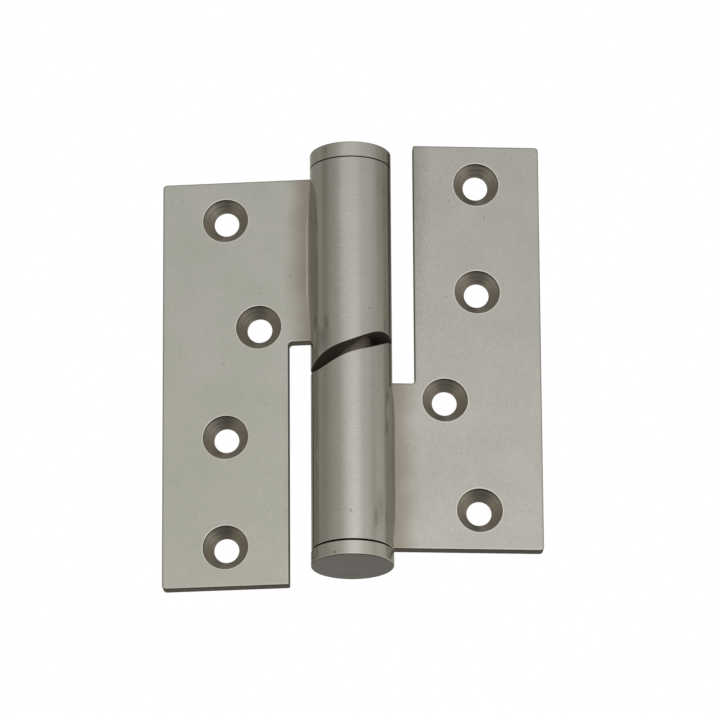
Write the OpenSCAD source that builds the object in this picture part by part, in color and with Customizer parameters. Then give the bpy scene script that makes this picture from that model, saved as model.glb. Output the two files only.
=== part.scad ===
// Rising butt hinge, lying open as it comes from its box.
// Frame: Z is the pin axis, pointing up. The frame leaf lies along +X with its
// screw-head face towards -Y. Z = 0 is the lower end of the frame leaf.
// The door leaf and its knuckle are the same two pieces turned end for end.

/* [Leaves] */
// Height of each leaf, along the pin
leaf_h = 100; // [80:1:125]
// Width of each leaf, from the pin centre to its outer edge
leaf_w = 44.5; // [40:0.5:55]
// Thickness of the leaf plate
leaf_t = 3; // [2:0.1:4]
// Distance from the pin centre back to the face of the leaf that takes the screw heads
leaf_set = 1.2; // [0.6:0.1:2.5]
// Slot between the free stretch of a leaf and the other knuckle
slot_w = 5.4; // [2.5:0.1:7]
// Radius of the outer corners of a leaf
corner_r = 0.9; // [0.4:0.1:4]
// Radius in the inside corner where the tab leaves the free stretch
notch_r = 0.8; // [0.3:0.1:2]
// Radius of the weld fillet between tab and knuckle
weld_r = 0.9; // [0.4:0.1:2]

/* [Screw holes] */
// Number of screw holes in a leaf
holes = 4; // [3:1:5]
// Which of them is staggered, counted from 0 at the tab's end
stagger_at = 1; // [0:1:2]
// Diameter of the screw holes
hole_d = 5.8; // [4:0.1:6.5]
// Diameter of the countersinks at the face of the leaf
sink_d = 10.5; // [9:0.1:11.5]
// Full cone angle of the countersinks
sink_angle = 90; // [82:1:100]
// Distance from the end of a leaf to the centre of its last hole
hole_end = 9.6; // [8:0.1:14]
// Distance from the outer edge of a leaf to the three outer holes
hole_edge = 14.8; // [8:0.1:18]
// Distance from the outer edge of a leaf to the staggered hole
stagger_edge = 22.6; // [19:0.1:24]

/* [Knuckles] */
// Outer diameter of the knuckle barrels
barrel_d = 19; // [16:0.2:22]
// How far a barrel stands past the end of its leaf
barrel_over = 1.2; // [0.5:0.1:3]
// Bevel round the capped end of each barrel
barrel_bevel = 0.35; // [0.1:0.05:0.8]

/* [Cam] */
// Height from the low point to the high point of the cam
cam_rise = 7.5; // [4:0.1:8]
// Angle over which the cam climbs; it falls over the rest of the turn
cam_arc = 139; // [120:1:170]
// Share of third harmonic that straightens the ramps of the cam
cam_round = 0.12; // [0:0.01:0.15]
// Direction of the cam's low point, clockwise from its leaf as seen from the cam's end
cam_at = 150; // [145:1:155]
// Smallest gap between the two cams with the hinge lying open
cam_gap = 0.25; // [0.1:0.05:1]

/* [Pin and caps] */
// Diameter of the pin
pin_d = 10; // [8:0.2:11]
// Running clearance round the pin, on the radius
pin_clear = 0.05; // [0.02:0.01:0.1]
// Gap between the pin and the bottom cap, and between the pin and the top cap
pin_gap = 0.2; // [0.1:0.05:1]
// Bevel on both ends of the pin
pin_bevel = 0.8; // [0.3:0.1:1.5]
// Thickness of the caps outside the barrels
cap_t = 3.8; // [2:0.1:6]
// How far the spigot of a cap reaches into its barrel
spigot_l = 6; // [3:0.5:10]
// How far the bottom cap stands proud of its barrel, on the radius
cap_proud = 0.12; // [0:0.02:0.4]
// Radius round the outer rim of the caps
cap_rim_r = 0.6; // [0.2:0.1:1.5]
// Bevel round the seam side of the caps
cap_bevel = 0.2; // [0.1:0.05:0.5]

/* [Pose] */
// How much lower the door leaf hangs than the frame leaf with the hinge lying open
door_drop = 8.3; // [7.8:0.1:10]
// How far the door leaf is folded back past flat
fold_back = 9.5; // [5:0.5:12]

/* [Hidden] */
$fn = 96;
// Small overlap that joins shapes of one piece
eps = 0.01;
// How far a cutter runs past the faces that it cuts
over = 1;

// Number of facets round the cam
cam_n = 120;
barrel_r = barrel_d / 2;
bore_r = pin_d / 2 + pin_clear;
hole_pitch = (leaf_h - 2 * hole_end) / (holes - 1);
// Inner edge of the free stretch of a leaf
leaf_in = barrel_r + slot_w;

// Turn between the two cams: how far the door cam's crest lags behind the frame cam's
cam_lag = cam_arc - 2 * cam_at + 180 + fold_back;
// The door cam stands so far above a fully nested place that only cam_gap is left
cam_lift = cam_gap + max([for (i = [0 : cam_n - 1])
    let (a = i * 360 / cam_n) cam_height(a) - cam_height(a + cam_lag)]);
// Length of a barrel from its capped end to the low point of its cam
barrel_low = (leaf_h + 2 * barrel_over - door_drop - cam_rise - cam_lift) / 2;
// Length of the turned blank before the cam is cut
blank_l = barrel_low + cam_rise + over;
// The tab ends just short of the cam's low point
tab_short = 0.8;
tab_h = barrel_low - barrel_over - tab_short;
// Height of the door leaf's upper end and of the capped ends of both barrels
door_top = leaf_h - door_drop;
barrel_foot = -barrel_over;
barrel_head = door_top + barrel_over;

// A sine with its third harmonic taken off, from -1 to 1, so the flanks run straight
function ramp(x) = (sin(x) - cam_round * sin(3 * x)) / (1 + cam_round);

// Height of the cam above its low point, at an angle counter-clockwise from it
function cam_height(a) =
    let (t = (a % 360 + 360) % 360)
    cam_rise / 2 * (1 + ramp(t < cam_arc
        ? t / cam_arc * 180 - 90
        : 90 + (t - cam_arc) / (360 - cam_arc) * 180));

// Turns a piece of the frame side end for end and folds it into the door's place
module door_place() {
    translate([0, 0, door_top])
        rotate([0, 0, -fold_back])
            rotate([0, 180, 0])
                children();
}

// Region between a square corner and the arc that rounds it, with the corner at
// the origin and the material in the first quadrant
module corner_waste(r) {
    difference() {
        translate([-eps, -eps]) square(r + eps);
        translate([r, r]) circle(r);
    }
}

// Outline of a leaf seen from its screw-head face: a full-height stretch, and a tab
// at the lower end that reaches in to the knuckle
module leaf_outline() {
    difference() {
        union() {
            translate([leaf_in, 0]) square([leaf_w - leaf_in, leaf_h]);
            square([leaf_in + eps, tab_h]);
            translate([leaf_in, tab_h]) mirror([1, 0]) difference() {
                translate([-eps, -eps]) square(notch_r + eps);
                translate([notch_r, notch_r]) circle(notch_r);
            }
        }
        translate([leaf_w, 0]) mirror([1, 0]) corner_waste(corner_r);
        translate([leaf_w, leaf_h]) rotate(180) corner_waste(corner_r);
        translate([leaf_in, leaf_h]) mirror([0, 1]) corner_waste(corner_r / 2);
    }
}

// Screw hole with its countersink, its axis through the plate at the given place
module screw_hole(x, z) {
    flare = tan(sink_angle / 2);
    sink_depth = (sink_d - hole_d) / 2 / flare;
    translate([x, leaf_set - over, z]) rotate([-90, 0, 0]) {
        cylinder(d = hole_d, h = leaf_t + 2 * over);
        cylinder(d1 = sink_d + 2 * flare * over, d2 = hole_d, h = sink_depth + over);
    }
}

// Weld fillet on one face of the tab: the corner between the barrel and a plane at
// the distance y, hollowed by an arc that is tangent to both
module weld_section(y) {
    arc_x = sqrt(pow(barrel_r + weld_r, 2) - pow(y + weld_r, 2));
    share = barrel_r / (barrel_r + weld_r);
    difference() {
        polygon([
            [sqrt(barrel_r * barrel_r - y * y) - eps, y - eps],
            [arc_x, y - eps],
            [arc_x, y],
            [arc_x * share, (y + weld_r) * share]
        ]);
        translate([arc_x, y + weld_r]) circle(weld_r);
        circle(barrel_r);
    }
}

// Leaf of the frame side: plate, weld fillets on both faces, and screw holes
module leaf() {
    difference() {
        translate([0, leaf_set + leaf_t, 0]) rotate([90, 0, 0])
            linear_extrude(leaf_t) leaf_outline();
        translate([0, 0, -over]) cylinder(r = barrel_r, h = leaf_h + 2 * over);
        for (i = [0 : holes - 1])
            screw_hole(leaf_w - (i == stagger_at ? stagger_edge : hole_edge),
                       hole_end + i * hole_pitch);
    }
    linear_extrude(tab_h) weld_section(leaf_set + leaf_t);
    linear_extrude(tab_h) mirror([0, 1]) weld_section(-leaf_set);
}

// Everything above the cam: a ring whose underside follows the cam, from inside the
// bore to outside the barrel
module above_cam() {
    inside = bore_r - over;
    outside = barrel_r + over;
    top = blank_l + over;
    points = [for (i = [0 : cam_n - 1])
        let (a = i * 360 / cam_n, z = barrel_low + cam_height(a + cam_at))
        each [
            [inside * cos(a), inside * sin(a), z],
            [outside * cos(a), outside * sin(a), z],
            [outside * cos(a), outside * sin(a), top],
            [inside * cos(a), inside * sin(a), top]
        ]];
    faces = [for (i = [0 : cam_n - 1], k = [0 : 3])
        let (p = 4 * i + k, q = 4 * i + (k + 1) % 4,
             n = 4 * ((i + 1) % cam_n), r = n + k, s = n + (k + 1) % 4)
        each [[p, s, r], [p, q, s]]];
    polyhedron(points, faces);
}

// Knuckle of the frame side, standing on its capped end
module knuckle() {
    translate([0, 0, barrel_foot]) difference() {
        rotate_extrude() polygon([
            [bore_r, 0],
            [barrel_r - barrel_bevel, 0],
            [barrel_r, barrel_bevel],
            [barrel_r, blank_l],
            [bore_r, blank_l]
        ]);
        above_cam();
    }
}

// Cap: disc with a rounded rim and a bevelled seam side, and a spigot that fills the
// bore. Z = 0 is the face that seats on the barrel, and the spigot points up.
module cap(r) {
    rotate_extrude() {
        difference() {
            polygon([
                [0, -cap_t],
                [r, -cap_t],
                [r, -cap_bevel],
                [r - cap_bevel, 0],
                [0, 0]
            ]);
            translate([r, -cap_t]) mirror([1, 0]) corner_waste(cap_rim_r);
        }
        translate([0, -eps]) square([bore_r, spigot_l + eps]);
    }
}

module frame_leaf() {
    color("#a8a69c") leaf();
}

module frame_knuckle() {
    color("#a6a296") knuckle();
}

module door_leaf() {
    color("#a8a69c") door_place() leaf();
}

module door_knuckle() {
    color("#a6a296") door_place() knuckle();
}

module hinge_pin() {
    foot = barrel_foot + spigot_l + pin_gap;
    head = barrel_head - spigot_l - pin_gap;
    color("#7d7468") rotate_extrude() polygon([
        [0, foot],
        [pin_d / 2 - pin_bevel, foot],
        [pin_d / 2, foot + pin_bevel],
        [pin_d / 2, head - pin_bevel],
        [pin_d / 2 - pin_bevel, head],
        [0, head]
    ]);
}

module top_cap() {
    color("#a29f95") translate([0, 0, barrel_head]) rotate([180, 0, 0]) cap(barrel_r);
}

module bottom_cap() {
    color("#8a8880") translate([0, 0, barrel_foot]) cap(barrel_r + cap_proud);
}

frame_leaf();
frame_knuckle();
door_leaf();
door_knuckle();
hinge_pin();
top_cap();
bottom_cap();
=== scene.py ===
"""Looks of a rising butt hinge in satin stainless steel, lying open.

The hinge stands in the frame's own axes: Z is the pin axis, pointing up, the frame leaf lies along
+X with its screw-head face towards -Y, and the door leaf and its knuckle are the same two parts
turned end for end. Shapes are worked out in millimetres and put into meshes in metres.
"""

import math

import bmesh
import bpy
import numpy as np
from mathutils import Matrix, Vector

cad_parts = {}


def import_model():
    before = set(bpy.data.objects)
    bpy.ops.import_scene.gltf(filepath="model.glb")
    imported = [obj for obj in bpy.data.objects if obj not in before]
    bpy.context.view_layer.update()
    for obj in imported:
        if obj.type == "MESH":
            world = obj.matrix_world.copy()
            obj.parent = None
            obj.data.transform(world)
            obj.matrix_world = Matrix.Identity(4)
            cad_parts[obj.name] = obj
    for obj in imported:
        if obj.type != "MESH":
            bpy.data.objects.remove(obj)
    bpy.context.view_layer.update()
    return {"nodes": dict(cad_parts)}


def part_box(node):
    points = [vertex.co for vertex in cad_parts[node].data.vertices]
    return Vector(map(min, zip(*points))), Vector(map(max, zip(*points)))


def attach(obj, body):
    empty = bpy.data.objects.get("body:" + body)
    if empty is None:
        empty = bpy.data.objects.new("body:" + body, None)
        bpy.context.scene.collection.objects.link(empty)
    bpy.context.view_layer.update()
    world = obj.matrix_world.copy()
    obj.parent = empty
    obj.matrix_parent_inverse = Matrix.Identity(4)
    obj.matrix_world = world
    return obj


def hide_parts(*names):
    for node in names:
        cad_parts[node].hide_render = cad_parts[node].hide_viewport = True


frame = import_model()

MM = 0.001

# Sizes that the frame gives, in millimetres like all others unless a comment says metres
LEAF_W, _, LEAF_H = (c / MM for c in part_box("frame_leaf")[1])
DOOR_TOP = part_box("door_leaf")[1].z / MM
BARREL_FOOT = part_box("frame_knuckle")[0].z / MM
CAM_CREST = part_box("frame_knuckle")[1].z / MM
BARREL_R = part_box("frame_knuckle")[1].x / MM
BARREL_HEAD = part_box("door_knuckle")[1].z / MM
CAP_T = BARREL_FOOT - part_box("bottom_cap")[0].z / MM
BOTTOM_CAP_R = -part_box("bottom_cap")[0].y / MM
PIN_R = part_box("hinge_pin")[1].x / MM

# Leaves: the plate's two faces in Y, and in X the inner edge of the full-height stretch and the
# end of the tab inside the knuckle's wall
PLATE_FRONT = 1.2
PLATE_BACK = 4.2
LEAF_IN = 14.9
TAB_ROOT = 7.6
# How far the tab stays below the cam's low point
TAB_SHORT = 0.8
CORNER_R = 0.9
INNER_CORNER_R = 0.45
NOTCH_R = 0.8
# How far the polished edge rolls off across the face, and through the thickness
ROLL_ACROSS = 0.4
ROLL_DEEP = 0.26
BACK_EDGE_R = 0.2
FOLD_BACK = math.radians(9.5)

# Screw holes: how many there are, which one is staggered, and where they stand on the leaf
HOLES = 4
STAGGERED = 1
HOLE_END = 9.6
HOLE_X = LEAF_W - 14.8
STAGGER_X = LEAF_W - 22.6
# Their radii, the depth of the straight lip above the cone, and the roundings of the edges
HOLE_R = 2.9
SINK_R = 5.25
SINK_LIP = 0.5
SINK_RIM_R = 0.16
SINK_LIP_R = 0.05
HOLE_RIM_R = 0.08
# Radius outside which the rim has its painted highlight, and inside which the lip's painted shade has ended
SINK_BRIGHT = SINK_R + SINK_RIM_R / 8
SINK_DARK = SINK_R - 0.22
# Rings that the countersinking bit cut into the cone: their number, depth and rounding
BIT_RINGS = 5
BIT_RING_DEEP = 0.014
BIT_RING_R = 0.6

# Weld fillets between the tab and the knuckle: radius, depth out of sight, and distance from the
# tab's ends
WELD_R = 1.3
WELD_SUNK = 0.5
WELD_END = 0.3
# How abruptly a fillet is drawn in at its ends
WELD_TAPER = 4

# Knuckles
BORE_R = PIN_R + 0.05
FOOT_EDGE_R = 0.2
CAM_EDGE_R = 0.1
# Cam: its height, the arc over which it climbs, how straight its flanks run, and where it is lowest
CAM_RISE = 7.5
CAM_ARC = math.radians(139)
CAM_ROUND = 0.12
CAM_AT = math.radians(150)
BARREL_LOW = CAM_CREST - CAM_RISE
TAB_H = BARREL_LOW - TAB_SHORT

# Caps
CAP_RIM_R = 0.3
CAP_SEAM_R = 0.08
# Share of the rim's rounding that has the finish of the cap's face
CAP_FACE_SHARE = 0.3
SPIGOT_L = 6.0
SPIGOT_CLEAR = 0.02
# Depth of the open seam under a cap's shoulder, and its width at either end of the hinge
SEAM_DEEP = 0.8
BOTTOM_SEAM = 0.42
TOP_SEAM = 0.12

# How finely curves are cut
ARC_STEPS = 7
ROUND_STEPS = 288
SINK_STEPS = 96
WELD_STEPS = 80
# Width of the flat strip that keeps a rounding's shading off the flat beside it
HOLD = 0.03
# Distance within which points are one
JOIN = 1e-4

# Numbers of the finishes on a leaf, on a knuckle, and on a cap
FACE, SINK, WELD, CUT_EDGE, SINK_RIM, SINK_LIP_WALL = range(6)
BARREL_SIDE, CAM_FACE, BARREL_SEAM = range(3)
CAP_SIDE, CAP_FACE, CAP_SEAM = range(3)


def unit(vectors):
    """Each vector divided by its length."""
    return vectors / np.linalg.norm(vectors, axis=-1, keepdims=True)


def rounded(corners, radii, closed=True):
    """Outline through 2-D corners with an arc in each, and the outward normal at every point.

    At a corner P with unit vectors u and v towards its neighbours, the arc of radius r touches both
    sides at r * tan(half the turn) from P. Its points are where it starts plus r times the change
    of a direction that turns evenly from one side's normal to the other's. Each arc has a short
    straight lead on both sides. The outline runs counter-clockwise, so outward is to its right.
    """
    def right(d):
        return np.stack([d[..., 1], -d[..., 0]], -1)

    corners = np.asarray(corners, float)
    radii = np.asarray(radii, float)[:, None, None]
    u = unit(np.roll(corners, 1, 0) - corners)[:, None]
    v = unit(np.roll(corners, -1, 0) - corners)[:, None]
    n_in, n_out = right(-u), right(v)
    turn = np.arccos(np.clip((n_in * n_out).sum(-1, keepdims=True), -1, 1))
    s = np.linspace(0, 1, ARC_STEPS)[None, :, None]
    normal = (np.sin((1 - s) * turn) * n_in + np.sin(s * turn) * n_out) / np.sin(turn)
    bulge = -radii * np.sign((n_in * v).sum(-1, keepdims=True))
    arc = corners[:, None] + u * radii * np.tan(turn / 2) + (normal - n_in) * bulge
    points = np.concatenate([arc[:, :1] + u * HOLD, arc, arc[:, -1:] + v * HOLD], 1)
    normals = np.concatenate([n_in, normal, n_out], 1)
    if closed:
        return points.reshape(-1, 2), normals.reshape(-1, 2)
    inner, inner_normals = points[1:-1].reshape(-1, 2), normals[1:-1].reshape(-1, 2)
    points = np.concatenate([corners[:1], inner, corners[-1:]])
    normals = np.concatenate([inner_normals[:1], inner_normals, inner_normals[-1:]])
    return points, normals


def grid_faces(rows, columns, wrap_rows=False, wrap_columns=False):
    """Quads between neighbouring points of a grid whose points are numbered row by row."""
    number = np.arange(rows * columns).reshape(rows, columns)
    if wrap_rows:
        number = np.concatenate([number, number[:1]])
    if wrap_columns:
        number = np.concatenate([number, number[:, :1]], 1)
    quads = [number[:-1, :-1], number[1:, :-1], number[1:, 1:], number[:-1, 1:]]
    return np.stack(quads, -1).reshape(-1, 4)


def turned(profile, steps):
    """Profile of (radius, height) pairs carried round the Z axis in even steps."""
    angle = np.arange(steps) * 2 * math.pi / steps
    r, z = profile[:, :1], profile[:, 1:2]
    points = np.stack([r * np.cos(angle), r * np.sin(angle), z + 0 * angle], -1)
    return points, grid_faces(len(profile), steps, wrap_columns=True)


def cam_height(angle):
    """Height of the cam above its low point, at an angle counter-clockwise from it, in radians.

    It climbs over CAM_ARC and falls over the rest of the turn. Each flank is a sine from its
    trough to its crest, with a share of its third harmonic taken off so that it runs straight.
    """
    t = np.mod(angle, 2 * math.pi)
    up = t / CAM_ARC * math.pi - math.pi / 2
    down = math.pi / 2 + (t - CAM_ARC) / (2 * math.pi - CAM_ARC) * math.pi
    phase = np.where(t < CAM_ARC, up, down)
    wave = (np.sin(phase) - CAM_ROUND * np.sin(3 * phase)) / (1 + CAM_ROUND)
    return CAM_RISE / 2 * (1 + wave)


def frame_place(points):
    """The frame side's parts are drawn where they belong."""
    return points


def door_place(points):
    """A frame side's part turned end for end and folded back into the door side's place."""
    x, y, z = np.moveaxis(points, -1, 0)
    c, s = math.cos(FOLD_BACK), math.sin(FOLD_BACK)
    return np.stack([-x * c + y * s, x * s + y * c, DOOR_TOP - z], -1)


def make_piece(name, body, node, materials, surfaces, place=frame_place, flats=()):
    """One mesh object from surfaces, each (points, faces, finish numbers), and its place on the body.

    flats are heights in Y at which the open edges of the surfaces bound a flat face, which is
    filled in. The surfaces are joined where they meet, and all faces are turned outwards.
    """
    points = np.concatenate([s[0].reshape(-1, 3) for s in surfaces])
    start = np.cumsum([0] + [s[0].size // 3 for s in surfaces[:-1]])
    faces = np.concatenate([s[1] + n for s, n in zip(surfaces, start)])
    number = np.concatenate([np.broadcast_to(s[2], len(s[1])) for s in surfaces])
    mesh = bpy.data.meshes.new(name)
    mesh.from_pydata(points, [], faces.tolist())
    mesh.polygons.foreach_set("material_index", number.astype(np.int32))
    bm = bmesh.new()
    bm.from_mesh(mesh)
    bmesh.ops.remove_doubles(bm, verts=bm.verts, dist=JOIN)
    for level in flats:
        rim = [e for e in bm.edges
               if e.is_boundary and all(abs(v.co.y - level) < JOIN for v in e.verts)]
        bmesh.ops.triangle_fill(bm, edges=rim, use_beauty=True)
    bmesh.ops.recalc_face_normals(bm, faces=bm.faces)
    bm.to_mesh(mesh)
    bm.free()
    flat = np.empty(len(mesh.vertices) * 3)
    mesh.vertices.foreach_get("co", flat)
    mesh.vertices.foreach_set("co", (place(flat.reshape(-1, 3)) * MM).ravel())
    mesh.shade_smooth()
    for material in materials:
        mesh.materials.append(material)
    piece = bpy.data.objects.new(name, mesh)
    bpy.context.scene.collection.objects.link(piece)
    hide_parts(node)
    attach(piece, body)


def plate_rim():
    """Rim of a leaf: a profile carried round the leaf's outline.

    The outline is the full-height stretch with the tab at its lower end, and runs on into the
    knuckle's wall. The profile starts on the front face, rolls off in a quarter ellipse, crosses
    the thickness and turns round a quarter circle onto the back. A point is the outline's point
    less its depth times the normal.
    """
    outline, normals = rounded(
        [(TAB_ROOT, 0), (LEAF_W, 0), (LEAF_W, LEAF_H), (LEAF_IN, LEAF_H),
         (LEAF_IN, TAB_H), (TAB_ROOT, TAB_H)],
        [INNER_CORNER_R, CORNER_R, CORNER_R, INNER_CORNER_R, NOTCH_R, INNER_CORNER_R])
    t = np.linspace(0, math.pi / 2, ARC_STEPS + 2)
    roll = np.stack([ROLL_ACROSS * (1 - np.sin(t)), PLATE_FRONT + ROLL_DEEP * (1 - np.cos(t))], -1)
    back = np.stack([BACK_EDGE_R * (1 - np.cos(t)), PLATE_BACK - BACK_EDGE_R * (1 - np.sin(t))], -1)
    ends = np.array([[ROLL_ACROSS + HOLD, PLATE_FRONT], [BACK_EDGE_R + HOLD, PLATE_BACK]])
    lead = np.array([[0, PLATE_FRONT + ROLL_DEEP + HOLD], [0, PLATE_BACK - BACK_EDGE_R - HOLD]])
    profile = np.concatenate([ends[:1], roll, lead, back, ends[1:]])
    flat = outline[None] - profile[:, :1, None] * normals[None]
    depth = np.broadcast_to(profile[:, 1:], flat.shape[:2])
    points = np.stack([flat[..., 0], depth, flat[..., 1]], -1)
    # Edges through the thickness get the cut edge's painted shade, and the rolled-off part gets the face's
    # finish
    rolled = profile[1:, 1] <= PLATE_FRONT + ROLL_DEEP / 2
    finish = np.repeat(np.where(rolled, FACE, CUT_EDGE), len(outline))
    return points, grid_faces(len(profile), len(outline), wrap_columns=True), finish


def screw_hole(x, z):
    """Countersink and hole: a profile carried round the hole's axis.

    The profile is the radius at each depth: from the plate's face over the rim, painted as a highlight,
    down a short lip painted as shade and the 45 degree cone to the plain hole, and over the far rim to the
    plate's back.
    The cone has shallow rings: points along it lie in turn above and below its straight line.
    """
    deep = PLATE_FRONT + SINK_LIP + SINK_R - HOLE_R
    share = np.arange(1, BIT_RINGS + 1) / (BIT_RINGS + 1)
    lift = BIT_RING_DEEP / 2 * (-1) ** np.arange(BIT_RINGS)
    rings = np.stack([SINK_R - share * (SINK_R - HOLE_R) + lift,
                      PLATE_FRONT + SINK_LIP + share * (SINK_R - HOLE_R) + lift], -1)
    profile, _ = rounded(
        [(SINK_R + 2 * SINK_RIM_R, PLATE_FRONT), (SINK_R, PLATE_FRONT), (SINK_R, PLATE_FRONT + SINK_LIP),
         *rings, (HOLE_R, deep), (HOLE_R, PLATE_BACK), (HOLE_R + 2 * HOLE_RIM_R, PLATE_BACK)],
        [SINK_RIM_R, SINK_RIM_R, SINK_LIP_R, *[BIT_RING_R] * BIT_RINGS,
         HOLE_RIM_R, HOLE_RIM_R, HOLE_RIM_R], closed=False)
    points, faces = turned(profile, SINK_STEPS)
    across, up, depth = np.moveaxis(points, -1, 0)
    # The rim gets the painted highlight, the lip's wall gets the painted shade, and the cone keeps its own
    # finish
    on_rim = profile[1:, 0] >= SINK_BRIGHT
    on_lip = profile[1:, 0] >= SINK_DARK
    finish = np.repeat(np.where(on_rim, SINK_RIM, np.where(on_lip, SINK_LIP_WALL, SINK)), SINK_STEPS)
    return np.stack([x + across, depth, z + up], -1), faces, finish


def weld_bead(face, side):
    """Weld fillet beside the tab: a section carried up the tab and drawn in at both ends.

    The section is a hollow arc of WELD_R that touches both the barrel and the plate's face, and
    its other corners are sunk into the barrel and the plate. Towards both ends it shrinks into its
    deepest corner and out of sight. It is worked out for a plate whose face is at the height face
    in Y and looks towards +Y, and side -1 mirrors it in Y.
    """
    reach = math.sqrt((BARREL_R + WELD_R) ** 2 - (face + WELD_R) ** 2)
    centre = np.array([reach, face + WELD_R])
    toe = centre * BARREL_R / (BARREL_R + WELD_R)
    first = math.atan2(centre[1], centre[0]) - math.pi
    angle = np.linspace(first, -math.pi / 2, ARC_STEPS * 2)
    arc = centre + WELD_R * np.stack([np.cos(angle), np.sin(angle)], -1)
    sunk = face - WELD_SUNK
    root = np.array([[reach, sunk], [toe[0] - WELD_SUNK, sunk], [toe[0] - WELD_SUNK, toe[1]]])
    section = np.concatenate([arc, root])
    height = np.linspace(0, 1, WELD_STEPS)
    drawn = (1 - np.abs(2 * height - 1) ** WELD_TAPER / 2)[:, None, None]
    ring = root[1] + (section - root[1]) * drawn
    z = np.broadcast_to((WELD_END + height * (TAB_H - 2 * WELD_END))[:, None], ring.shape[:2])
    points = np.stack([ring[..., 0], side * ring[..., 1], z], -1)
    ends = points[[0, -1]].mean(1, keepdims=True) + np.zeros((1, len(section), 1))
    points = np.concatenate([ends[:1], points, ends[1:]])
    return points, grid_faces(len(points), len(section), wrap_columns=True), WELD


def leaf_surfaces():
    """A leaf: its rim, its screw holes and its weld fillets."""
    pitch = (LEAF_H - 2 * HOLE_END) / (HOLES - 1)
    holes = [screw_hole(STAGGER_X if i == STAGGERED else HOLE_X, HOLE_END + i * pitch)
             for i in range(HOLES)]
    return [plate_rim(), *holes, weld_bead(PLATE_BACK, 1), weld_bead(-PLATE_FRONT, -1)]


def knuckle_surface():
    """A knuckle: a closed profile carried round the axis, its upper end following the cam.

    The profile is the wall between bore and barrel. A point's height is the profile's own, and the
    points at the upper end have the cam's height in their direction added.
    """
    profile, _ = rounded(
        [(BORE_R, BARREL_FOOT), (BARREL_R, BARREL_FOOT), (BARREL_R, BARREL_LOW), (BORE_R, BARREL_LOW)],
        [CAM_EDGE_R, FOOT_EDGE_R, CAM_EDGE_R, CAM_EDGE_R])
    points, _ = turned(profile, ROUND_STEPS)
    angle = np.arange(ROUND_STEPS) * 2 * math.pi / ROUND_STEPS
    upper = profile[:, 1] > (BARREL_LOW + BARREL_FOOT) / 2
    points[..., 2] += upper[:, None] * cam_height(angle + CAM_AT)
    outer = BARREL_R - np.where(upper, CAM_EDGE_R, FOOT_EDGE_R)
    middle = (profile[:, 0] + np.roll(profile[:, 0], -1)) / 2
    # The cam face gets the painted shade of the gap between the knuckles, and the foot gets the painted
    # shade of the seam
    inside = np.where(upper, CAM_FACE, BARREL_SEAM)
    finish = np.repeat(np.where(middle > outer, BARREL_SIDE, inside), ROUND_STEPS)
    return points, grid_faces(len(profile), ROUND_STEPS, wrap_rows=True, wrap_columns=True), finish


def cap_surface(radius, seam):
    """A cap: a profile carried round the axis.

    It runs from the middle of the outer face over the rounded rim to the seam, in along the open
    seam to the shoulder, and up the spigot to its far end. The small edges are rounded by a third
    of the seam's width at most.
    """
    shoulder = radius - SEAM_DEEP
    spigot = BORE_R - SPIGOT_CLEAR
    edge = min(CAP_SEAM_R, seam / 3)
    profile, _ = rounded(
        [(0, -CAP_T), (radius, -CAP_T), (radius, -seam), (shoulder, -seam), (shoulder, 0),
         (spigot, 0), (spigot, SPIGOT_L), (0, SPIGOT_L)],
        [edge, CAP_RIM_R, CAP_SEAM_R, edge, edge, edge, CAP_RIM_R, edge], closed=False)
    points, faces = turned(profile, ROUND_STEPS)
    # The outer face gets the cap end's finish, darker partly as painted shade, and the open seam gets the
    # painted shade of the seams
    on_face = profile[1:, 1] <= -CAP_T + CAP_RIM_R * CAP_FACE_SHARE
    in_seam = (profile[1:, 1] > -CAP_T / 2) & (profile[1:, 0] < radius - edge / 8)
    finish = np.where(on_face, CAP_FACE, np.where(in_seam, CAP_SEAM, CAP_SIDE))
    return points, faces, np.repeat(finish, ROUND_STEPS)


def cap_place(height, up):
    """Place of a cap whose seam face is at a height, with its spigot pointing up (1) or down (-1)."""
    def place(points):
        return points * (1, up, up) + (0, 0, height)
    return place


def linear(hex_colour):
    """Linear colour of an sRGB hex value."""
    srgb = np.array([int(hex_colour[i:i + 2], 16) for i in (1, 3, 5)]) / 255
    value = np.where(srgb <= 0.04045, srgb / 12.92, ((srgb + 0.055) / 1.055) ** 2.4)
    return (*value.tolist(), 1.0)


def add(material, kind, links=(), values=(), **settings):
    """Adds a node: links maps its inputs to sockets, and values maps its inputs to constants."""
    node = material.node_tree.nodes.new("ShaderNode" + kind)
    for key, value in settings.items():
        setattr(node, key, value)
    for key, value in dict(values).items():
        node.inputs[key].default_value = value
    for key, socket in dict(links).items():
        material.node_tree.links.new(socket, node.inputs[key])
    return node


def new_material(name):
    """An empty material with nodes."""
    material = bpy.data.materials.new(name)
    material.use_nodes = True
    material.node_tree.nodes.clear()
    return material


def blemishes(material, coords, ragged, marks):
    """Strength from 0 to 1 of small dark marks, each (place, half width, half height, strength).

    A mark is an ellipsoid round its place, all in mm. It is full in its inner part and fades out,
    and the noise ragged frays it.
    """
    strongest = None
    for place, across, up, strength in marks:
        scale = np.array([1 / across, 1 / across, 1 / up]) / MM
        local = add(material, "Mapping", {"Vector": coords},
                    {"Scale": scale, "Location": -scale * np.asarray(place) * MM})
        away = add(material, "VectorMath", {0: local.outputs["Vector"]}, operation="LENGTH")
        frayed = add(material, "Math", {0: ragged, 2: away.outputs["Value"]}, {1: MARK_RAGGED},
                     operation="MULTIPLY_ADD").outputs[0]
        mark = add(material, "MapRange", {"Value": frayed},
                   {"From Min": MARK_FULL, "From Max": MARK_END, "To Min": strength, "To Max": 0.0})
        found = mark.outputs["Result"]
        strongest = found if strongest is None else add(
            material, "Math", {0: strongest, 1: found}, operation="MAXIMUM").outputs[0]
    return strongest


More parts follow.
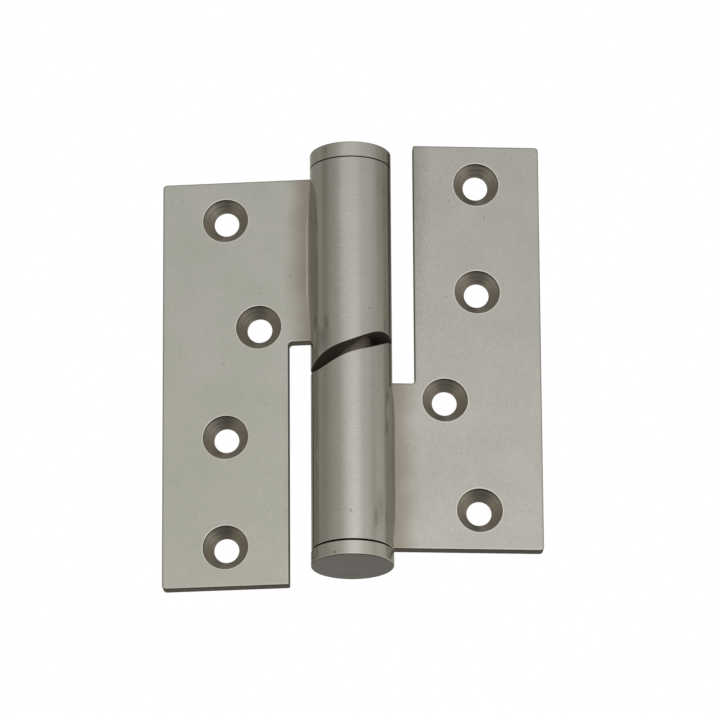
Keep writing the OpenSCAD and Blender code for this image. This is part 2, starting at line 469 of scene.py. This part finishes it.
def steel(name, dark, light, roughness, grain, depth, marks=(), stain=None, wave=0.0):
    """Stainless steel with a soft grain and faint clouds over it.

    grain is the size in mm of one mark of the finish along each axis, and depth is its height.
    wave is the height in mm of the slow unevenness that polishing by hand leaves.
    stain is the strength of a brownish tint on the leaf round the knuckle, which fades with distance from
    the pin axis.
    """
    material = new_material(name)
    coords = add(material, "TexCoord").outputs["Object"]
    laid = add(material, "Mapping", {"Vector": coords}, {"Scale": [1 / (g * MM) for g in grain]})
    grit = add(material, "TexNoise", {"Vector": laid.outputs["Vector"]},
               {"Scale": 1.0, "Detail": NOISE_DETAIL, "Roughness": 0.6}).outputs["Fac"]
    cloud = add(material, "TexNoise", {"Vector": coords},
                {"Scale": 1 / (CLOUD * MM), "Detail": NOISE_DETAIL, "Roughness": 0.55}).outputs["Fac"]
    both = add(material, "MixRGB", {"Color1": grit, "Color2": cloud}, {"Fac": CLOUD_SHARE}).outputs["Color"]
    share = add(material, "MapRange", {"Value": both}, NOISE_SPAN)
    colour = add(material, "MixRGB", {"Fac": share.outputs["Result"]},
                 {"Color1": linear(dark), "Color2": linear(light)}).outputs["Color"]
    if stain:
        flat = add(material, "Mapping", {"Vector": coords}, {"Scale": (1 / MM, 1 / MM, 0)})
        radius = add(material, "VectorMath", {0: flat.outputs["Vector"]}, operation="LENGTH")
        ragged = add(material, "MapRange", {"Value": cloud},
                     {**NOISE_SPAN, "To Min": -KNUCKLE_TINT_RAGGED, "To Max": KNUCKLE_TINT_RAGGED})
        edge = add(material, "Math", {0: radius.outputs["Value"], 1: ragged.outputs["Result"]},
                   operation="ADD")
        near = add(material, "MapRange", {"Value": edge.outputs[0]},
                   {"From Min": KNUCKLE_TINT_FULL, "From Max": KNUCKLE_TINT_END, "To Min": stain, "To Max": 0.0},
                   interpolation_type="SMOOTHSTEP")
        colour = add(material, "MixRGB", {"Fac": near.outputs["Result"], "Color1": colour},
                     {"Color2": linear(KNUCKLE_TINT_COLOUR)}).outputs["Color"]
    rough = add(material, "MapRange", {"Value": both},
                {**NOISE_SPAN, "To Min": roughness + ROUGH_SPREAD, "To Max": roughness - ROUGH_SPREAD})
    if marks:
        dirt = blemishes(material, coords, grit, marks)
        colour = add(material, "MixRGB", {"Fac": dirt, "Color1": colour},
                     {"Color2": linear(PIT_COLOUR)}).outputs["Color"]
    height = add(material, "Math", {0: cloud, 2: grit}, {1: wave / depth}, operation="MULTIPLY_ADD")
    bump = add(material, "Bump", {"Height": height.outputs[0]},
               {"Strength": BUMP_STRENGTH, "Distance": depth * MM})
    shader = add(material, "BsdfPrincipled", {
        "Base Color": colour, "Roughness": rough.outputs["Result"],
        "Normal": bump.outputs["Normal"]}, {"Metallic": 1.0})
    add(material, "OutputMaterial", {"Surface": shader.outputs["BSDF"]})
    return material


def barrel_place(degrees, z):
    """Point on the barrels' surface at an angle counter-clockwise from +X."""
    a = math.radians(degrees)
    return BARREL_R * math.cos(a), BARREL_R * math.sin(a), z


def leaf_pits(pits, place):
    """Marks for the pits at (x, z) on the front of a leaf, moved to where the leaf is."""
    return [(place(np.array([x, PLATE_FRONT, z])), PIT_R, PIT_R, PIT_STRENGTH) for x, z in pits]


# Range that the noise keeps to, and how many finer layers it has
NOISE_SPAN = {"From Min": 0.3, "From Max": 0.7}
NOISE_DETAIL = 3.0
# Size of the faint clouds that a hand-held polishing belt leaves, and their share in the colour
CLOUD = 12.0
CLOUD_SHARE = 0.35
ROUGH_SPREAD = 0.03
BUMP_STRENGTH = 0.5
# Brownish tint near the knuckle, and the distances from the pin axis at which it is full and ends
KNUCKLE_TINT_COLOUR = "#93887a"
KNUCKLE_TINT_FULL = 10.2
KNUCKLE_TINT_END = 16.4
KNUCKLE_TINT_RAGGED = 0.8
# Where a mark starts and ends to fade, and how far its edge is frayed, as shares of its size
MARK_FULL = 0.55
MARK_END = 1.35
MARK_RAGGED = 0.7
# Small pits that the polishing left, dark inside
PIT_COLOUR = "#5a554b"
PIT_R = 0.34
PIT_STRENGTH = 0.38
FRAME_PITS = [(17.4, 82.0), (31.5, 82.3), (23.3, 86.2), (28.6, 70.4), (22.4, 62.1), (14.7, 24.6),
              (25.4, 23.5)]
DOOR_PITS = [(40.1, 4.1), (20.1, 17.6), (14.5, 24.1), (21.6, 28.1), (30.1, 45.4), (20.2, 55.7)]
# Darker, brownish streak down the free edge beside the upper knuckle
FRAME_EDGE_DARKENING = ((14.5, PLATE_FRONT, 100), 4.5, 60, 0.3)
# Specks and smears on the knuckles and caps
DOOR_BARREL_MARKS = [(barrel_place(-66.1, 55.4), 0.35, 0.35, 0.5),
                     (barrel_place(-131.5, 52.0), 1.0, 2.8, 0.4),
                     (barrel_place(-140.0, 48.8), 3.4, 3.8, 0.3)]
FRAME_BARREL_MARKS = [(barrel_place(-95.5, 5.6), 0.35, 0.6, 0.5),
                      (barrel_place(-57.5, 4.6), 1.0, 4.0, 0.4),
                      (barrel_place(-51.0, 7.0), 1.6, 6.5, 0.25)]
TOP_CAP_MARKS = [(barrel_place(-130.2, 95.5), 0.45, 0.3, 0.6),
                 (barrel_place(-131.5, 94.8), 0.45, 0.3, 0.5)]
BOTTOM_CAP_MARKS = [(barrel_place(-118.7, -4.2), 0.6, 0.5, 0.55)]
CAP_FACE_MARKS = [((0, 0, BARREL_FOOT - CAP_T), 1.4, 1.0, 0.25)]

# Satin plate, belt-ground to a soft even sheen. Its grain is drawn 0.35 mm wide, and the real one is
# finer
LEAF = dict(roughness=0.30, grain=(0.35, 0.35, 0.6), depth=0.004, wave=0.02)
frame_leaf_steel = steel("satin_stainless_frame_leaf", "#b3b2a8", "#c4c1b9", stain=0.75,
                         marks=[*leaf_pits(FRAME_PITS, frame_place), FRAME_EDGE_DARKENING], **LEAF)
door_leaf_steel = steel("satin_stainless_door_leaf", "#b6b7ac", "#c8c6bd", stain=0.8,
                        marks=leaf_pits(DOOR_PITS, door_place), **LEAF)
# Cone as the countersinking bit left it: duller and browner than the polished faces
DRILLED = dict(grain=(0.4, 0.4, 0.4), depth=0.006)
sink_steel = steel("drilled_stainless", "#9b958a", "#a9a398", roughness=0.36, **DRILLED)
# Painted shade on the wall of the lip: a thin dark line round the cone
lip_shade_steel = steel("sink_lip_painted_shade", "#5a5145", "#6a6054", roughness=0.42, **DRILLED)
# Painted highlight on the rounded rim: a fine bright ring round each hole
rim_highlight_steel = steel("sink_rim_painted_highlight", "#cfcdc5", "#dad8d1", roughness=0.28,
                  grain=(0.4, 0.4, 0.4), depth=0.002)
# Welds dressed by hand: smooth and slightly uneven, so that the light wavers along them. The door
# leaf's fillet is painted lighter as a highlight, and the frame leaf's is painted darker as shade
DRESSED = dict(roughness=0.30, grain=(0.5, 0.5, 2.0), depth=0.004, wave=0.05)
frame_weld_shade_steel = steel("frame_leaf_weld_painted_shade", "#a8a296", "#bab5aa", **DRESSED)
door_weld_highlight_steel = steel("door_leaf_weld_painted_highlight", "#c6c2b7", "#d8d5cc", **DRESSED)
# Painted shade on the cut edges through the plate's thickness: dull and dark beside the faces
edge_shade_steel = steel("cut_edge_painted_shade", "#5c564c", "#6e685e", roughness=0.48, **DRILLED)
# Barrels turned on a lathe and polished round: fine lines across the pin axis, drawn 0.35 mm apart
# though the real ones are finer
BARREL = dict(dark="#b8b7af", light="#c5c3bc", roughness=0.2, grain=(1.6, 1.6, 0.35), depth=0.002, wave=0.1)
frame_barrel_steel = steel("turned_stainless_frame_knuckle", marks=FRAME_BARREL_MARKS, **BARREL)
door_barrel_steel = steel("turned_stainless_door_knuckle", marks=DOOR_BARREL_MARKS, **BARREL)
# Milled cam faces, rougher than the barrels and painted darker as the shade inside the gap between the
# knuckles
MILLED = dict(grain=(0.5, 0.5, 0.5), depth=0.006)
cam_shade_steel = steel("milled_cam_face_painted_shade", "#87817a", "#99938b", roughness=0.55, **MILLED)
# Painted shade in the seams: a near black that stands in for the shadow in the narrow gaps between caps and
# barrels
seam_shade_steel = steel("seam_painted_shade", "#2c2721", "#3b352d", roughness=0.5, **MILLED)
# Caps turned and polished like the barrels, but flatter and a little paler
CAP = dict(dark="#bbb9b1", light="#c8c6be", roughness=0.24, grain=(1.6, 1.6, 0.35), depth=0.003, wave=0.02)
top_cap_steel = steel("smooth_stainless_top_cap", marks=TOP_CAP_MARKS, **CAP)
bottom_cap_steel = steel("smooth_stainless_bottom_cap", marks=BOTTOM_CAP_MARKS, **CAP)
# Cap faces turned flat and left matt: one even grey, darker than the sides partly from that finish and
# partly as painted shade of the bottom face, which looks away from the light, with the pip of the cut in
# the middle
cap_end_and_shade_steel = steel("faced_cap_end_and_painted_shade", "#747372", "#807e7a", roughness=0.38,
                       grain=(0.8, 0.8, 0.8), depth=0.002, marks=CAP_FACE_MARKS)
# Pin as it was drawn, duller and browner than what turns on it, and painted darker still as the shade of
# the gap it is seen through
pin_and_shade_steel = steel("dull_pin_and_painted_shade", "#6e675c", "#8a8276", roughness=0.46, grain=(1.5, 1.5, 0.3), depth=0.01)

# Pieces, each with its materials in the order of the finishes' numbers
leaf_rest = [edge_shade_steel, rim_highlight_steel, lip_shade_steel]
plate_faces = (PLATE_FRONT, PLATE_BACK)
make_piece("frame_leaf_plate", "frame", "frame_leaf",
           [frame_leaf_steel, sink_steel, frame_weld_shade_steel, *leaf_rest],
           leaf_surfaces(), frame_place, plate_faces)
make_piece("door_leaf_plate", "door", "door_leaf",
           [door_leaf_steel, sink_steel, door_weld_highlight_steel, *leaf_rest],
           leaf_surfaces(), door_place, plate_faces)
make_piece("frame_knuckle_barrel", "frame", "frame_knuckle",
           [frame_barrel_steel, cam_shade_steel, seam_shade_steel],
           [knuckle_surface()], frame_place)
make_piece("door_knuckle_barrel", "door", "door_knuckle",
           [door_barrel_steel, cam_shade_steel, seam_shade_steel],
           [knuckle_surface()], door_place)
make_piece("bottom_cap_disc", "frame", "bottom_cap",
           [bottom_cap_steel, cap_end_and_shade_steel, seam_shade_steel],
           [cap_surface(BOTTOM_CAP_R, BOTTOM_SEAM)], cap_place(BARREL_FOOT, 1))
make_piece("top_cap_disc", "door", "top_cap",
           [top_cap_steel, cap_end_and_shade_steel, seam_shade_steel],
           [cap_surface(BARREL_R, TOP_SEAM)], cap_place(BARREL_HEAD, -1))
frame["nodes"]["hinge_pin"].data.materials.clear()
frame["nodes"]["hinge_pin"].data.materials.append(pin_and_shade_steel)

# Camera at the photograph's viewing angle, with angles in degrees and its clipping in metres
CAM_AIM = Vector((1.2, 0.0, 46.5)) * MM
CAM_DISTANCE = 1593.6 * MM
CAM_AZIMUTH = -3.673
CAM_ELEVATION = -19.727
CAM_ROLL = 0.355
CAM_LENS = 345.3
CAM_SENSOR = 36
CAM_CLIP = (0.1, 30)

# Floor, in metres
FLOOR_Z = -0.65
FLOOR_HALF = 6.0

# Lamp, in metres and watts, and the level of the white surroundings where they only give light
KEY_PLACE = (0.9, -1.6, 0.9)
KEY_SIZE = 1.0
KEY_POWER = 12
SKY_LIGHT = 0.6

# Light tent round the hinge: its radius in metres and how finely it is cut
TENT_R = 0.7
TENT_STEPS = 72
# Its levels of light by azimuth in degrees, above and below the turnover in elevation
TENT_LEVELS_HIGH = [
    (-180, 0.70), (-160, 0.56), (-140, 0.44), (-122, 0.44), (-111, 0.47), (-98, 0.48), (-83, 0.31),
    (-72, 0.41), (-62, 0.52), (-50, 0.55), (-36, 0.74), (-29, 0.92), (-20, 0.97), (6, 0.94), (16, 0.92),
    (25, 0.82), (43, 0.79), (54, 0.78), (70, 0.66), (80, 0.44), (96, 0.44), (110, 0.29), (126, 0.52),
    (140, 0.16), (152, 0.10), (168, 0.56), (180, 0.70)]
TENT_LEVELS_LOW = [
    (-180, 0.46), (-166, 0.46), (-150, 0.27), (-136, 0.25), (-122, 0.25), (-111, 0.39), (-98, 0.34),
    (-83, 0.35), (-66, 0.44), (-50, 0.51), (-36, 0.53), (-26, 0.69), (-18, 0.82), (-9, 0.98), (0, 1.05),
    (12, 1.05), (20, 0.88), (27, 0.74), (40, 0.70), (50, 0.62), (60, 0.47), (70, 0.62), (82, 0.62),
    (96, 0.57), (106, 0.56), (116, 0.56), (130, 0.50), (150, 0.3), (168, 0.44), (180, 0.46)]
TENT_TURNOVER = (17.5, 22.5)
# Its levels of light by elevation
TENT_LEVELS_UP = [(-90, 0.08), (-62, 0.12), (-42, 0.8), (-26, 1.3), (-10, 1.2), (4, 1.12), (13, 0.99),
                  (18, 0.90), (26, 0.77), (42, 0.60), (62, 0.58), (90, 0.56)]
# What a dark part of it loses in red, green and blue
TENT_WARMTH = (0.0, 0.06, 0.22)


def place_camera():
    """Camera on a line from the aim point at the viewing angle, rolled about that line."""
    turn = (Matrix.Rotation(math.radians(CAM_AZIMUTH), 4, "Z")
            @ Matrix.Rotation(math.radians(-CAM_ELEVATION), 4, "X")
            @ Matrix.Rotation(math.radians(CAM_ROLL), 4, "Y"))
    ahead = turn @ Vector((0, 1, 0))
    data = bpy.data.cameras.new("camera")
    data.lens = CAM_LENS
    data.sensor_width = CAM_SENSOR
    data.clip_start, data.clip_end = CAM_CLIP
    camera = bpy.data.objects.new("camera", data)
    camera.matrix_world = (Matrix.Translation(CAM_AIM - ahead * CAM_DISTANCE)
                           @ turn @ Matrix.Rotation(math.pi / 2, 4, "X"))
    bpy.context.scene.collection.objects.link(camera)
    bpy.context.scene.camera = camera


def stage_piece(name, points, faces, material):
    """A stage mesh, which isn't part of the hinge."""
    mesh = bpy.data.meshes.new(name)
    mesh.from_pydata(np.asarray(points).reshape(-1, 3), [], np.asarray(faces).tolist())
    mesh.materials.append(material)
    piece = bpy.data.objects.new(name, mesh)
    bpy.context.scene.collection.objects.link(piece)
    return piece


def floor():
    """Plain pale floor."""
    material = new_material("pale_floor")
    shader = add(material, "BsdfPrincipled", values={"Base Color": linear("#f4f4f2"), "Roughness": 0.9})
    add(material, "OutputMaterial", {"Surface": shader.outputs["BSDF"]})
    corners = [(x * FLOOR_HALF, y * FLOOR_HALF, FLOOR_Z) for x, y in ((-1, -1), (1, -1), (1, 1), (-1, 1))]
    stage_piece("floor", corners, [(0, 1, 2, 3)], material)


def light_levels(material, share, levels, span, warmth=(0, 0, 0)):
    """Colour of the tent by direction: the share runs over the span of degrees round zero.

    Its darker parts are a little warmer, as cloth in shade is.
    """
    ramp = add(material, "ValToRGB", {"Fac": share})
    stops = ramp.color_ramp.elements
    while len(stops) < len(levels):
        stops.new(0.5)
    for stop, (degrees, level) in zip(stops, levels):
        stop.position = degrees / span + 0.5
        stop.color = (*(level * (1 - w * (1 - level)) for w in warmth), 1.0)
    return ramp.outputs["Color"]


def light_tent():
    """Soft white tent with grey sides: a sphere round the hinge that only the metal reflects.

    Its light is one level by azimuth, from -Y towards +X, times another by elevation. The levels
    by azimuth turn from the low list into the high one over the elevations of TENT_TURNOVER.
    """
    material = new_material("light_tent_cloth")
    coords = add(material, "TexCoord").outputs["Object"]
    local = add(material, "Mapping", {"Vector": coords},
                {"Location": -CAM_AIM.yxz / TENT_R, "Scale": [1 / TENT_R] * 3,
                 "Rotation": (0, 0, math.pi / 2)}).outputs["Vector"]
    azimuth = add(material, "TexGradient", {"Vector": local}, gradient_type="RADIAL").outputs["Fac"]
    height = add(material, "SeparateXYZ", {"Vector": local}).outputs["Z"]
    rise = add(material, "Math", {0: height}, operation="ARCSINE").outputs[0]
    elevation = add(material, "MapRange", {"Value": rise},
                    {"From Min": -math.pi / 2, "From Max": math.pi / 2}).outputs["Result"]
    first, last = (math.radians(degrees) for degrees in TENT_TURNOVER)
    turnover = add(material, "MapRange", {"Value": rise}, {"From Min": first, "From Max": last})
    colour = add(material, "MixRGB", {
        "Fac": turnover.outputs["Result"],
        "Color1": light_levels(material, azimuth, TENT_LEVELS_LOW, 360, TENT_WARMTH),
        "Color2": light_levels(material, azimuth, TENT_LEVELS_HIGH, 360, TENT_WARMTH)})
    shader = add(material, "Emission", {
        "Color": colour.outputs["Color"],
        "Strength": light_levels(material, elevation, TENT_LEVELS_UP, 180)})
    add(material, "OutputMaterial", {"Surface": shader.outputs["Emission"]})
    t = np.linspace(-math.pi / 2, math.pi / 2, TENT_STEPS // 2 + 1)
    points, faces = turned(TENT_R * np.stack([np.cos(t), np.sin(t)], -1), TENT_STEPS)
    tent = stage_piece("light_tent", points + np.array(CAM_AIM), faces, material)
    tent.visible_camera = False
    tent.visible_diffuse = False
    tent.visible_shadow = False


def world():
    """White where the camera or the metal sees it, and a softer white as light."""
    background = bpy.data.worlds.new("studio")
    bpy.context.scene.world = background
    background.use_nodes = True
    background.node_tree.nodes.clear()
    path = add(background, "LightPath").outputs
    seen = add(background, "Math", {0: path["Is Camera Ray"], 1: path["Is Glossy Ray"]},
               operation="MAXIMUM").outputs[0]
    seen = add(background, "Math", {0: seen, 1: path["Is Transmission Ray"]},
               operation="MAXIMUM").outputs[0]
    strength = add(background, "MapRange", {"Value": seen}, {"To Min": SKY_LIGHT, "To Max": 1.0})
    sky = add(background, "Background", {"Strength": strength.outputs["Result"]},
              {"Color": (1, 1, 1, 1)})
    add(background, "OutputWorld", {"Surface": sky.outputs["Background"]})


def softbox(name, place, size, watts):
    """Square area lamp aimed at the hinge, placed in metres."""
    data = bpy.data.lights.new(name, "AREA")
    data.shape = "SQUARE"
    data.size = size
    data.energy = watts
    lamp = bpy.data.objects.new(name, data)
    lamp.location = place
    lamp.rotation_mode = "QUATERNION"
    lamp.rotation_quaternion = (Vector(place) - CAM_AIM).to_track_quat("Z", "Y")
    bpy.context.scene.collection.objects.link(lamp)
    return lamp


bpy.context.scene.view_settings.view_transform = "Standard"
place_camera()
world()
floor()
light_tent()
softbox("key_softbox", KEY_PLACE, KEY_SIZE, KEY_POWER).visible_glossy = False
